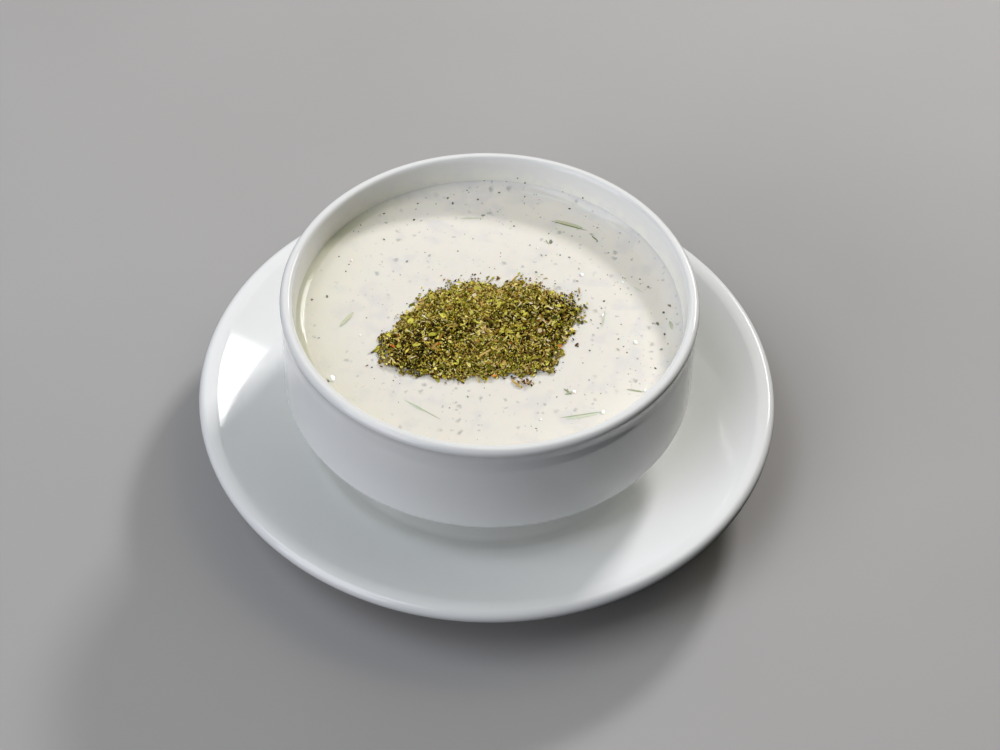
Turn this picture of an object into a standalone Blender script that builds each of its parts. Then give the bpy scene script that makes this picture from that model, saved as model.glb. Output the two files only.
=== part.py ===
"""Tzatziki dip in a stacking porcelain bowl on its saucer, with a heap of dried mint on top.

The saucer, the bowl and the dip are turned shapes about the Z axis. Each is a profile of
(radius, height) pairs that is spun once round. The mint is one low, uneven heap.
Units are metres, +Z is up, and the origin is the centre of the saucer's foot on the table.
"""

from math import cos, pi, radians, sin

import bmesh
import bpy
import numpy as np

SEGMENTS = 56                      # straight steps round every turned piece
CONTACT_GAP = 0.0003               # free space left between two pieces that touch

TOTAL_HEIGHT = 0.0544              # table to the top of the bowl's rim

SAUCER_RADIUS = 0.080
SAUCER_HEIGHT = 0.01975            # table to the top of the saucer's lip
SAUCER_LIP_RADIUS = 0.0021         # the rolled edge, seen in section
SAUCER_CROWN_RADIUS = 0.0080       # wide rounding from the flange into the lip, in section
SAUCER_CROWN_TURN = 24.0           # degrees the crown turns, which is the flange's last slope
SAUCER_FOOT_RADIUS = 0.0462
SAUCER_FOOT_WIDTH = 0.0042
SAUCER_FOOT_RECESS = 0.0018
WELL_EDGE_RADIUS = 0.0512          # shallow seat for the bowl in the middle of the saucer
WELL_EDGE_HEIGHT = 0.0090
WELL_FLOOR_RADIUS = 0.0462
WELL_FLOOR_HEIGHT = 0.0062
FLANGE_THICKNESS = 0.0040
FLANGE_STRAIGHTNESS = 0.96         # 1 is a plain cone, less is dished

BOWL_FOOT_RADIUS = 0.0342
BOWL_FOOT_WIDTH = 0.0042
BOWL_FOOT_HEIGHT = 0.0030
BOWL_FOOT_RECESS = 0.0015
RIM_RADIUS = 0.0556
RIM_OUTER_RADIUS = 0.0015          # rounding of the rim's outer edge, seen in section
RIM_INNER_RADIUS = 0.0014          # rounding of its inner edge
RIM_WIDTH = 0.0032
COVE_RADIUS = 0.05533              # narrowest place of the shallow groove under the rim
COVE_DEPTH_BELOW_RIM = 0.0042
WALL_TOP_RADIUS = 0.05548
WALL_TOP_BELOW_RIM = 0.0080
SHOULDER_RADIUS = 0.05604          # widest place, just above the turned-in underside
SHOULDER_BELOW_RIM = 0.0284
SHOULDER_ROUND = 0.0035
UNDERSIDE_ANGLE = 55.0             # degrees the shoulder turns before the underside starts
BOWL_INSIDE_RADIUS = 0.0498
BOWL_INSIDE_FLOOR = 0.0115
BOWL_INSIDE_CURVE_TOP = 0.0300     # height at which the inside turns from bottom to wall
BOWL_INSIDE_SQUARENESS = 2.1       # 2 is an ellipse, more is squarer

DIP_BELOW_RIM = 0.0095
MENISCUS_RISE = 0.0018
MENISCUS_WIDTH = 0.0050

HEAP_CENTRE = (-0.0017, -0.0060)
HEAP_CORNERS = ((-28, -5), (-26, -15), (-9, -18), (5, -16), (19, -14), (24, 2), (28, 9), (24, 14),
                (9, 20), (4, 17), (-4, 19), (-17, 12), (-20, 6))   # mm from the heap's centre
HEAP_PEAK = 0.0038
HEAP_EDGE = 0.0006
HEAP_LUMP_SPACING = 0.014
HEAP_LUMP_SHARE = 0.07             # how far the lumps cut into the dome
HEAP_RINGS = 9
HEAP_SECTORS = 44

BOWL_BASE = WELL_FLOOR_HEIGHT + CONTACT_GAP
DIP_LEVEL = TOTAL_HEIGHT - DIP_BELOW_RIM

PORCELAIN = (0.86, 0.87, 0.87)
YOGURT = (0.90, 0.88, 0.79)
DRIED_MINT = (0.20, 0.19, 0.05)


def clear_scene():
    for item in list(bpy.data.objects):
        bpy.data.objects.remove(item, do_unlink=True)


def make_material(name, colour, roughness):
    material = bpy.data.materials.new(name)
    material.use_nodes = True
    shader = material.node_tree.nodes["Principled BSDF"]
    shader.inputs["Base Color"].default_value = (*colour, 1.0)
    shader.inputs["Roughness"].default_value = roughness
    shader.inputs["Metallic"].default_value = 0.0
    return material


def arc(centre_r, centre_z, radius, start_deg, end_deg, steps):
    """Points of a round stretch, with 0 degrees outwards and 90 degrees up."""
    points = []
    for i in range(steps + 1):
        angle = radians(start_deg + (end_deg - start_deg) * i / steps)
        points.append((centre_r + radius * cos(angle), centre_z + radius * sin(angle)))
    return points


def bend(start, corner, end, steps):
    """Points of a gentle bend from start to end that heads for the corner between them."""
    points = []
    for i in range(steps + 1):
        t = i / steps
        a, b, c = (1 - t) ** 2, 2 * t * (1 - t), t ** 2
        points.append((a * start[0] + b * corner[0] + c * end[0],
                       a * start[1] + b * corner[1] + c * end[1]))
    return points


def ease(start, end, steps):
    """Points of an S-shaped run that leaves and arrives upright."""
    points = []
    for i in range(steps + 1):
        t = i / steps
        share = (1 - cos(pi * t)) / 2
        points.append((start[0] + (end[0] - start[0]) * share, start[1] + (end[1] - start[1]) * t))
    return points


def foot_ring(outer_radius, width, base, recess):
    """Underside from the axis out to the top of a foot ring's outer edge, with eased corners."""
    edge = 0.0006
    inner_radius = outer_radius - width
    return [(0.0, base + recess),
            (inner_radius - edge, base + recess),
            (inner_radius, base + edge),
            (inner_radius + edge, base),
            (outer_radius - edge, base),
            (outer_radius, base + edge)]


def spin_profile(name, profile, material):
    """Turn a profile once round Z. It starts and ends on the axis, so the body is closed."""
    mesh = bmesh.new()
    points = [mesh.verts.new((r, 0.0, z)) for r, z in profile]
    edges = [mesh.edges.new(pair) for pair in zip(points, points[1:])]
    bmesh.ops.spin(mesh, geom=points + edges, cent=(0, 0, 0), axis=(0, 0, 1),
                   angle=2 * pi, steps=SEGMENTS)
    bmesh.ops.remove_doubles(mesh, verts=mesh.verts, dist=0.000005)
    bmesh.ops.recalc_face_normals(mesh, faces=mesh.faces)
    return finish(name, mesh, material)


def finish(name, mesh, material):
    data = bpy.data.meshes.new(name)
    mesh.to_mesh(data)
    mesh.free()
    data.materials.append(material)
    data.shade_smooth()
    data.set_sharp_from_angle(angle=radians(40))
    item = bpy.data.objects.new(name, data)
    bpy.context.scene.collection.objects.link(item)
    return item


def flange_top(share, end):
    """The flange from the well's edge (0) to its end (1): nearly a plain cone, a little dished."""
    rise = FLANGE_STRAIGHTNESS * share + (1 - FLANGE_STRAIGHTNESS) * share ** 2
    return (WELL_EDGE_RADIUS + (end[0] - WELL_EDGE_RADIUS) * share,
            WELL_EDGE_HEIGHT + (end[1] - WELL_EDGE_HEIGHT) * rise)


def make_saucer(material):
    lip_r = SAUCER_RADIUS - SAUCER_LIP_RADIUS
    lip_z = SAUCER_HEIGHT - SAUCER_LIP_RADIUS
    under_start = (SAUCER_FOOT_RADIUS + 0.0012, WELL_FLOOR_HEIGHT - FLANGE_THICKNESS + 0.0008)
    under_corner = (SAUCER_RADIUS - 0.016, 0.0078)
    lip = arc(lip_r, lip_z, SAUCER_LIP_RADIUS, -60, 90, 7)
    crown_z = SAUCER_HEIGHT - SAUCER_CROWN_RADIUS
    crown = arc(lip_r, crown_z, SAUCER_CROWN_RADIUS, 90, 90 + SAUCER_CROWN_TURN, 3)
    profile = foot_ring(SAUCER_FOOT_RADIUS, SAUCER_FOOT_WIDTH, 0.0, SAUCER_FOOT_RECESS)
    profile += bend(under_start, under_corner, lip[0], 4)[:-1]
    profile += lip
    profile += crown[1:]
    flange_steps = 3
    profile += [flange_top(i / flange_steps, crown[-1]) for i in range(flange_steps - 1, -1, -1)]
    profile += [(WELL_FLOOR_RADIUS, WELL_FLOOR_HEIGHT), (0.0, WELL_FLOOR_HEIGHT)]
    return spin_profile("saucer", profile, material)


def wall_radius(height):
    """The inside wall widens from its bottom curve up to the rim's inner side."""
    wall_height = TOTAL_HEIGHT - RIM_INNER_RADIUS - BOWL_INSIDE_CURVE_TOP
    share = (height - BOWL_INSIDE_CURVE_TOP) / wall_height
    return BOWL_INSIDE_RADIUS + (RIM_RADIUS - RIM_WIDTH - BOWL_INSIDE_RADIUS) * share


def bowl_inside(inset):
    """The bowl's inside from the wall down to the axis, moved inwards by inset all along."""
    steps = 7
    radius = BOWL_INSIDE_RADIUS - inset
    depth = BOWL_INSIDE_CURVE_TOP - BOWL_INSIDE_FLOOR - inset
    power = 2 / BOWL_INSIDE_SQUARENESS
    points = []
    for i in range(steps, -1, -1):
        angle = pi / 2 * i / steps
        points.append((radius * sin(angle) ** power, BOWL_INSIDE_CURVE_TOP - depth * cos(angle) ** power))
    points[0] = (radius, BOWL_INSIDE_CURVE_TOP)
    points[-1] = (0.0, BOWL_INSIDE_FLOOR + inset)
    return points


def make_bowl(material):
    shoulder_z = TOTAL_HEIGHT - SHOULDER_BELOW_RIM
    wall_top = (WALL_TOP_RADIUS, TOTAL_HEIGHT - WALL_TOP_BELOW_RIM)
    cove = (COVE_RADIUS, TOTAL_HEIGHT - COVE_DEPTH_BELOW_RIM)
    shoulder = arc(SHOULDER_RADIUS - SHOULDER_ROUND, shoulder_z, SHOULDER_ROUND, -UNDERSIDE_ANGLE, 0, 5)
    foot_top = (BOWL_FOOT_RADIUS + 0.0008, BOWL_BASE + BOWL_FOOT_HEIGHT)
    under_corner = (BOWL_FOOT_RADIUS + 0.0098, BOWL_BASE + BOWL_FOOT_HEIGHT + 0.0056)
    rim = arc(RIM_RADIUS - RIM_OUTER_RADIUS, TOTAL_HEIGHT - RIM_OUTER_RADIUS, RIM_OUTER_RADIUS, -32, 90, 6)
    rim += arc(RIM_RADIUS - RIM_WIDTH + RIM_INNER_RADIUS, TOTAL_HEIGHT - RIM_INNER_RADIUS,
               RIM_INNER_RADIUS, 90, 180, 4)
    profile = foot_ring(BOWL_FOOT_RADIUS, BOWL_FOOT_WIDTH, BOWL_BASE, BOWL_FOOT_RECESS)
    profile += bend(foot_top, under_corner, shoulder[0], 4)[:-1]
    profile += shoulder
    profile += ease(wall_top, cove, 3)
    profile += rim
    profile += bowl_inside(0.0)
    return spin_profile("bowl", profile, material)


def make_dip(material):
    """The dip fills the bowl to its level and creeps up a little where it wets the wall."""
    edge_z = DIP_LEVEL + MENISCUS_RISE
    edge_r = wall_radius(edge_z) - CONTACT_GAP
    profile = [(0.0, DIP_LEVEL),
               (edge_r - MENISCUS_WIDTH, DIP_LEVEL),
               (edge_r - MENISCUS_WIDTH / 2, DIP_LEVEL + MENISCUS_RISE / 3),
               (edge_r, edge_z)]
    profile += bowl_inside(CONTACT_GAP)
    return spin_profile("dip", profile, material)


def heap_outline(angle):
    """Distance from the heap's centre to its edge, which runs straight from corner to corner."""
    corners = np.array(HEAP_CORNERS) / 1000
    ways = zip(corners, np.roll(corners, -1, axis=0))
    edge = np.concatenate([np.linspace(start, end, 12, endpoint=False) for start, end in ways])
    return float(np.interp(angle, np.arctan2(edge[:, 1], edge[:, 0]), np.hypot(*edge.T), period=2 * pi))


def heap_height(share, x, y):
    """Height over the dip at a share of the way from the heap's centre (0) to its edge (1)."""
    dome = (1 - share ** 2.4) ** 0.8
    turns = 2 * pi / HEAP_LUMP_SPACING
    lumps = sin(turns * x + 1.0) * cos(turns * 0.8 * y) + 0.6 * sin(turns * 1.7 * y - turns * x)
    return HEAP_EDGE + (HEAP_PEAK - HEAP_EDGE) * dome * (1 - HEAP_LUMP_SHARE * (1 + lumps / 1.6))


def make_mint_heap(material):
    base = DIP_LEVEL + CONTACT_GAP
    mesh = bmesh.new()
    top = mesh.verts.new((*HEAP_CENTRE, base + heap_height(0, *HEAP_CENTRE)))
    rings = []
    for ring in range(1, HEAP_RINGS + 1):
        share = (ring / HEAP_RINGS) ** 0.85
        points = []
        for sector in range(HEAP_SECTORS):
            angle = 2 * pi * sector / HEAP_SECTORS
            x = HEAP_CENTRE[0] + heap_outline(angle) * share * cos(angle)
            y = HEAP_CENTRE[1] + heap_outline(angle) * share * sin(angle)
            points.append(mesh.verts.new((x, y, base + heap_height(share, x, y))))
        rings.append(points)
    foot = [mesh.verts.new((point.co.x, point.co.y, base)) for point in rings[-1]]
    rings.append(foot)
    for i in range(HEAP_SECTORS):
        j = (i + 1) % HEAP_SECTORS
        mesh.faces.new((top, rings[0][i], rings[0][j]))
        for inner, outer in zip(rings, rings[1:]):
            mesh.faces.new((inner[i], outer[i], outer[j], inner[j]))
    mesh.faces.new(list(reversed(foot)))
    bmesh.ops.recalc_face_normals(mesh, faces=mesh.faces)
    return finish("mint_heap", mesh, material)


clear_scene()
make_saucer(make_material("saucer_porcelain", PORCELAIN, 0.12))
make_bowl(make_material("bowl_porcelain", PORCELAIN, 0.12))
make_dip(make_material("yogurt_dip", YOGURT, 0.35))
make_mint_heap(make_material("dried_mint", DRIED_MINT, 0.8))
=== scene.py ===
"""Tzatziki dip in its stacking bowl on a saucer, with a heap of dried mint on top.

The sections follow the way the dish is put together: saucer, bowl, dip, what is stirred into
the dip, the mint, then the table, the lights and the camera. Units are metres, +Z is up.
"""
from math import ceil, cos, pi, radians, sin

import bpy
import numpy as np
from mathutils import Matrix, Vector


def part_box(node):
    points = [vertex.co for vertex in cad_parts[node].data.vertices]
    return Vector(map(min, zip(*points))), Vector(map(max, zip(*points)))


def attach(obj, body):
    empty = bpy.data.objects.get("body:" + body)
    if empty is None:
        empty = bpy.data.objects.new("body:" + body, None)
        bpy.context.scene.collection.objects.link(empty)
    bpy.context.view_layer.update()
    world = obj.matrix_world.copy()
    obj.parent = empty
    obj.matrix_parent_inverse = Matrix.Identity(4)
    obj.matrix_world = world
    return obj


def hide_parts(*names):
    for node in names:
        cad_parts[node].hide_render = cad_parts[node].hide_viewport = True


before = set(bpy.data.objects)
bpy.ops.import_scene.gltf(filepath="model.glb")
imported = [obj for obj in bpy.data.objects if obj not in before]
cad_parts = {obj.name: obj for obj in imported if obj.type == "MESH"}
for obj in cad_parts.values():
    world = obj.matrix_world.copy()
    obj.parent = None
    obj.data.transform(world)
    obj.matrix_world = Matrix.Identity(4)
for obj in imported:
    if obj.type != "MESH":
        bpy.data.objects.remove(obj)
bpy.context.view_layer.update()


# ---------------------------------------------------------------------------------------------
# Saucer. A thick hotel-ware saucer, thrown in one piece and glazed white all over but for the
# foot ring: a sunk seat for the bowl, a dished flange and a rolled lip.
# ---------------------------------------------------------------------------------------------

def arc(centre, radius, start_deg, end_deg, steps):
    """Points of a round stretch of an outline, with 0 degrees outwards and 90 degrees up."""
    points = []
    for i in range(steps + 1):
        angle = radians(start_deg + (end_deg - start_deg) * i / steps)
        points.append((centre[0] + radius * cos(angle), centre[1] + radius * sin(angle)))
    return points


def bend(start, corner, end, steps):
    """Points of a gentle bend that leaves start for the corner and then turns to end."""
    points = []
    for i in range(steps + 1):
        t = i / steps
        a, b, c = (1 - t) ** 2, 2 * t * (1 - t), t ** 2
        points.append((a * start[0] + b * corner[0] + c * end[0],
                       a * start[1] + b * corner[1] + c * end[1]))
    return points


def foot_ring(radius, width, base, recess):
    """Underside from the axis to the top of a foot ring's outer side, with eased corners."""
    ease = 0.0006
    inner = radius - width
    return ([(0.0, base + recess)]
            + bend((inner - 3 * ease, base + recess), (inner, base + recess), (inner, base + ease), 4)
            + bend((inner, base + ease), (inner, base), (inner + ease, base), 3)[1:]
            + bend((radius - ease, base), (radius, base), (radius, base + ease), 3))


def pick_nothing():
    """Leaves edit mode and lets go of everything that is selected."""
    if bpy.context.object and bpy.context.object.mode != "OBJECT":
        bpy.ops.object.mode_set(mode="OBJECT")
    bpy.ops.object.select_all(action="DESELECT")


def settle(piece):
    """Moves a piece's place into its mesh, so that its object sits at the origin, unturned."""
    pick_nothing()
    piece.select_set(True)
    bpy.context.view_layer.objects.active = piece
    bpy.ops.object.transform_apply(location=True, rotation=True, scale=True)
    return piece


def turn_piece(name, outline, steps):
    """Draws half an outline a point at a time and turns it once round the upright axis."""
    pick_nothing()
    bpy.ops.mesh.primitive_plane_add(size=0.001, location=(outline[0][0], 0.0, outline[0][1]))
    piece = bpy.context.object
    piece.name = name
    bpy.ops.object.mode_set(mode="EDIT")
    bpy.ops.mesh.merge(type="CENTER")
    for (r0, z0), (r1, z1) in zip(outline, outline[1:]):
        bpy.ops.mesh.extrude_vertices_move(TRANSFORM_OT_translate={"value": (r1 - r0, 0.0, z1 - z0)})
    bpy.ops.mesh.select_all(action="SELECT")
    bpy.ops.mesh.spin(steps=steps, angle=2 * pi, center=(0, 0, 0), axis=(0, 0, 1))
    bpy.ops.mesh.select_all(action="SELECT")
    bpy.ops.mesh.remove_doubles(threshold=0.000002)
    bpy.ops.mesh.normals_make_consistent(inside=False)
    bpy.ops.object.mode_set(mode="OBJECT")
    bpy.ops.object.shade_smooth()
    return settle(piece)


def add_node(tree, kind, inputs=None, **settings):
    """Adds a shader node. A plain value is set on its socket, and a socket is linked to it."""
    node = tree.nodes.new(kind)
    for key, value in settings.items():
        setattr(node, key, value)
    for key, value in (inputs or {}).items():
        if isinstance(value, bpy.types.NodeSocket):
            tree.links.new(value, node.inputs[key])
        else:
            node.inputs[key].default_value = value
    return node


def add_ramp(tree, share, stops):
    """Adds a colour ramp with (place, colour) stops. A colour is a grey or an RGB triple."""
    ramp = add_node(tree, "ShaderNodeValToRGB", {"Fac": share})
    while len(ramp.color_ramp.elements) < len(stops):
        ramp.color_ramp.elements.new(0.5)
    for element, (place, colour) in zip(ramp.color_ramp.elements, stops):
        element.position = place
        element.color = (*colour, 1.0) if isinstance(colour, tuple) else (colour, colour, colour, 1.0)
    return ramp.outputs["Color"]


def add_mix(tree, share, first, second, how="MIX"):
    """Mixes two colours, each a socket or an RGB triple."""
    def full(colour):
        return (*colour, 1.0) if isinstance(colour, tuple) else colour
    mix = add_node(tree, "ShaderNodeMix", data_type="RGBA", blend_type=how)
    ends = ((mix.inputs[0], share), (mix.inputs[6], full(first)), (mix.inputs[7], full(second)))
    for socket, value in ends:
        if isinstance(value, bpy.types.NodeSocket):
            tree.links.new(value, socket)
        else:
            socket.default_value = value
    return mix.outputs[2]


def add_math(tree, how, first, second=0.0, clamp=False):
    return add_node(tree, "ShaderNodeMath", {0: first, 1: second}, operation=how, use_clamp=clamp).outputs[0]


def axis_reach(tree, place):
    """How far a point is from the upright axis."""
    flat = add_node(tree, "ShaderNodeVectorMath", {0: place, 1: (1.0, 1.0, 0.0)}, operation="MULTIPLY")
    return add_node(tree, "ShaderNodeVectorMath", {0: flat.outputs[0]}, operation="LENGTH").outputs["Value"]


def fade(tree, value, start, end, top=1.0):
    """A soft step from 0 at start to top at end."""
    return add_node(tree, "ShaderNodeMapRange", {"Value": value, "From Min": start, "From Max": end,
                                                 "To Min": 0.0, "To Max": top},
                    interpolation_type="SMOOTHSTEP").outputs[0]


def new_material(name):
    """An empty material, its node tree and its shader, which is joined to the output."""
    material = bpy.data.materials.new(name)
    material.use_nodes = True
    tree = material.node_tree
    return material, tree, tree.nodes["Principled BSDF"]


def glazed_porcelain(name, body, shade):
    """White ware under a clear glaze: faintly clouded, a little wavy, wet-looking."""
    material, tree, shader = new_material(name)
    place = add_node(tree, "ShaderNodeTexCoord").outputs["Object"]
    cloud = add_node(tree, "ShaderNodeTexNoise", {"Vector": place, "Scale": 45.0, "Detail": 3.0})
    colour = add_mix(tree, cloud.outputs["Fac"], shade, body)
    tree.links.new(colour, shader.inputs["Base Color"])
    smear = add_node(tree, "ShaderNodeTexNoise", {"Vector": place, "Scale": 120.0, "Detail": 4.0})
    tree.links.new(add_ramp(tree, smear.outputs["Fac"], [(0.35, 0.055), (0.75, 0.12)]),
                   shader.inputs["Roughness"])
    ripple = add_node(tree, "ShaderNodeTexNoise", {"Vector": place, "Scale": 90.0, "Detail": 2.0})
    bump = add_node(tree, "ShaderNodeBump", {"Strength": 0.25, "Distance": 0.0001,
                                             "Height": ripple.outputs["Fac"]})
    tree.links.new(bump.outputs["Normal"], shader.inputs["Normal"])
    shader.inputs["IOR"].default_value = 1.5
    return material


TURN_STEPS = 224
saucer_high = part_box("saucer")[1]
SAUCER_RADIUS = 0.080
SAUCER_LIP = 0.0021
SAUCER_CROWN = 0.0080              # radius of the wide rounding from the flange into the lip
SAUCER_CROWN_TURN = 24.0
SAUCER_FOOT = 0.0462
FLANGE_STRAIGHTNESS = 0.96         # 1 is a plain cone, less is dished
WELL_EDGE = (0.0512, 0.0090)
WELL_FLOOR = (0.0462, 0.0062)
saucer_top = saucer_high.z
lip_centre = SAUCER_RADIUS - SAUCER_LIP
crown = arc((lip_centre, saucer_top - SAUCER_CROWN), SAUCER_CROWN, 90, 90 + SAUCER_CROWN_TURN, 14)


def flange_point(share):
    """The flange from the well's edge (0) to the crown (1): nearly a plain cone, a little dished."""
    rise = FLANGE_STRAIGHTNESS * share + (1 - FLANGE_STRAIGHTNESS) * share ** 2
    return (WELL_EDGE[0] + (crown[-1][0] - WELL_EDGE[0]) * share,
            WELL_EDGE[1] + (crown[-1][1] - WELL_EDGE[1]) * rise)


lip = arc((lip_centre, saucer_top - SAUCER_LIP), SAUCER_LIP, -60, 90, 18)
under_start = (SAUCER_FOOT + 0.0012, WELL_FLOOR[1] - 0.0032)
outline = foot_ring(SAUCER_FOOT, 0.0042, 0.0, 0.0018)
outline += bend(under_start, (SAUCER_RADIUS - 0.016, 0.0078), lip[0], 22)[:-1]
outline += lip
outline += crown[1:]
outline += [flange_point(i / 24) for i in range(23, 1, -1)]
outline += bend(flange_point(1 / 24), WELL_EDGE, (WELL_EDGE[0] - 0.0010, WELL_EDGE[1] - 0.00055), 5)
outline += bend((WELL_FLOOR[0] + 0.0010, WELL_FLOOR[1] + 0.00045), WELL_FLOOR,
                (WELL_FLOOR[0] - 0.0010, WELL_FLOOR[1]), 5)
outline += [(0.030, WELL_FLOOR[1]), (0.015, WELL_FLOOR[1]), (0.0, WELL_FLOOR[1])]

saucer = turn_piece("turned_saucer", outline, TURN_STEPS)
saucer.data.materials.append(glazed_porcelain("saucer_glaze", (0.86, 0.875, 0.87), (0.84, 0.86, 0.86)))
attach(saucer, "root")
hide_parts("saucer")


# ---------------------------------------------------------------------------------------------
# Bowl. A straight-sided stacking bowl of the same white ware, thrown and glazed: foot ring,
# turned-in underside, tight shoulder, upright wall, a groove under a rolled rim.
# ---------------------------------------------------------------------------------------------

bowl_low, bowl_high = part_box("bowl")
BOWL_TOP = bowl_high.z
BOWL_BASE = bowl_low.z
BOWL_FOOT = 0.0342
BOWL_FOOT_HEIGHT = 0.0030
RIM = 0.0556
RIM_OUTER = 0.0015                 # rounding of the rim's outer edge
RIM_INNER = 0.0014                 # rounding of its inner edge, with a narrow flat between them
RIM_WIDTH = 0.0032
COVE = (0.05533, BOWL_TOP - 0.0042)
WALL_TOP = (0.05548, BOWL_TOP - 0.0080)
SHOULDER_ROUND = 0.0035
SHOULDER = (0.05604 - SHOULDER_ROUND, BOWL_TOP - 0.0284)
BOWL_INSIDE = 0.0498
INSIDE_FLOOR = 0.0115
INSIDE_CURVE_TOP = 0.0300
INSIDE_SQUARENESS = 2.1


def upright_ease(start, end, steps):
    """Points of an S-shaped run that leaves and arrives upright."""
    points = []
    for i in range(steps + 1):
        t = i / steps
        share = (1 - cos(pi * t)) / 2
        points.append((start[0] + (end[0] - start[0]) * share, start[1] + (end[1] - start[1]) * t))
    return points


def wall_radius(height):
    """The bowl's inside wall widens a little from the bottom curve up to the rim's inner side."""
    rim_inner = (RIM - RIM_WIDTH, BOWL_TOP - RIM_INNER)
    share = (height - INSIDE_CURVE_TOP) / (rim_inner[1] - INSIDE_CURVE_TOP)
    return BOWL_INSIDE + (rim_inner[0] - BOWL_INSIDE) * share


def inside_curve(spread, steps):
    """The bowl's inside from the foot of its wall down to the axis, moved outwards by spread."""
    power = 2 / INSIDE_SQUARENESS
    depth = INSIDE_CURVE_TOP - INSIDE_FLOOR + spread
    points = []
    for i in range(steps, 0, -1):
        angle = pi / 2 * i / steps
        points.append(((BOWL_INSIDE + spread) * sin(angle) ** power,
                       INSIDE_CURVE_TOP - depth * max(cos(angle), 0.0) ** power))
    return points + [(0.0, INSIDE_CURVE_TOP - depth)]


shoulder = arc(SHOULDER, SHOULDER_ROUND, -55, 0, 12)
foot_top = (BOWL_FOOT + 0.0008, BOWL_BASE + BOWL_FOOT_HEIGHT)
under_corner = (BOWL_FOOT + 0.0098, BOWL_BASE + BOWL_FOOT_HEIGHT + 0.0056)
outline = foot_ring(BOWL_FOOT, 0.0042, BOWL_BASE, 0.0015)
outline += bend(foot_top, under_corner, shoulder[0], 16)[:-1]
outline += shoulder
outline += upright_ease(WALL_TOP, COVE, 14)
outline += arc((RIM - RIM_OUTER, BOWL_TOP - RIM_OUTER), RIM_OUTER, -32, 90, 20)
outline += arc((RIM - RIM_WIDTH + RIM_INNER, BOWL_TOP - RIM_INNER), RIM_INNER, 90, 180, 14)
wall_steps = 90
for i in range(1, wall_steps):
    height = (BOWL_TOP - RIM_INNER) + (INSIDE_CURVE_TOP - BOWL_TOP + RIM_INNER) * i / wall_steps
    ring = 0.000014 * sin(2 * pi * height / 0.00115) + 0.00001 * sin(2 * pi * height / 0.00073 + 1.0)
    outline.append((wall_radius(height) + ring, height))
outline += inside_curve(0.0, 20)

bowl = turn_piece("turned_bowl", outline, TURN_STEPS)
bowl_glaze = glazed_porcelain("bowl_glaze", (0.86, 0.87, 0.86), (0.845, 0.86, 0.855))
tree = bowl_glaze.node_tree
place = add_node(tree, "ShaderNodeTexCoord").outputs["Object"]
height = add_node(tree, "ShaderNodeSeparateXYZ", {0: place}).outputs["Z"]
streaks = add_node(tree, "ShaderNodeTexNoise", {"Vector": place, "Scale": 260.0, "Detail": 2.0})
# The inside wall below the rim gets a streaky cream film: partly a real film of yogurt, partly painted
# light, since it is paler than the glaze to stand in for light thrown up from the dip.
film = add_math(tree, "MULTIPLY", fade(tree, height, BOWL_TOP - 0.0018, BOWL_TOP - 0.0075),
                fade(tree, axis_reach(tree, place), 0.0535, 0.0525))
film = add_math(tree, "MULTIPLY", film, fade(tree, streaks.outputs["Fac"], 0.15, 0.65, 0.95))
shader = tree.nodes["Principled BSDF"]
glaze_colour = shader.inputs["Base Color"].links[0].from_socket
tree.links.new(add_mix(tree, film, glaze_colour, (0.945, 0.945, 0.865)), shader.inputs["Base Color"])
bowl.data.materials.append(bowl_glaze)
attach(bowl, "root")
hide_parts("bowl")


# ---------------------------------------------------------------------------------------------
# Dip. Thick strained yogurt stirred with grated cucumber and herbs, poured into the bowl: it
# lies almost level, creeps up where it wets the wall, and shows what lies just under its skin.
# ---------------------------------------------------------------------------------------------

dip_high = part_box("dip")[1]
CREEP_WIDTH = 0.00485              # the dip curves up towards the wall and clings to it
CREEP_CURVE = 155.0                # how fast it steepens, up to
CREEP_SLOPE = 0.70
WALL_BITE = 0.00015                # how far the dip reaches into the wall, so that no gap shows


def creep_height(distance):
    """Height over the level dip at a distance outwards from where the dip starts to curve up."""
    bend_end = CREEP_SLOPE / CREEP_CURVE
    curved = min(max(distance, 0.0), bend_end)
    return CREEP_CURVE * curved ** 2 / 2 + CREEP_SLOPE * max(distance - bend_end, 0.0)


DIP_LEVEL = dip_high.z - creep_height(CREEP_WIDTH)
dip_edge = wall_radius(dip_high.z) + WALL_BITE
outline = [((dip_edge - CREEP_WIDTH) * i / 60, DIP_LEVEL) for i in range(60)]
for i in range(26):
    distance = CREEP_WIDTH * i / 25
    outline.append((dip_edge - CREEP_WIDTH + distance, DIP_LEVEL + creep_height(distance)))
outline += [(wall_radius(z) + WALL_BITE, z) for z in np.linspace(dip_high.z - 0.001, 0.032, 7)]
outline += inside_curve(WALL_BITE, 12)
dip = turn_piece("poured_dip", outline, TURN_STEPS)


def soft_spots(tree, place, scale, least, width, strength):
    """Soft round spots, at most one in each cell of a jumbled grid, each of its own size."""
    stir = add_node(tree, "ShaderNodeTexNoise", {"Vector": place, "Scale": 700.0, "Detail": 2.0})
    wobble = add_node(tree, "ShaderNodeVectorMath",
                      {0: stir.outputs["Color"], 1: (0.0020, 0.0020, 0.0020), 2: place},
                      operation="MULTIPLY_ADD").outputs[0]
    cells = add_node(tree, "ShaderNodeTexVoronoi", {"Vector": wobble, "Scale": scale},
                     voronoi_dimensions="2D")
    picked = add_node(tree, "ShaderNodeSeparateColor", {"Color": cells.outputs["Color"]}).outputs["Red"]
    size = fade(tree, picked, least, 1.0, width)
    inside = add_math(tree, "SUBTRACT", size, cells.outputs["Distance"])
    return fade(tree, inside, 0.0, 0.95 * width, strength)


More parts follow.
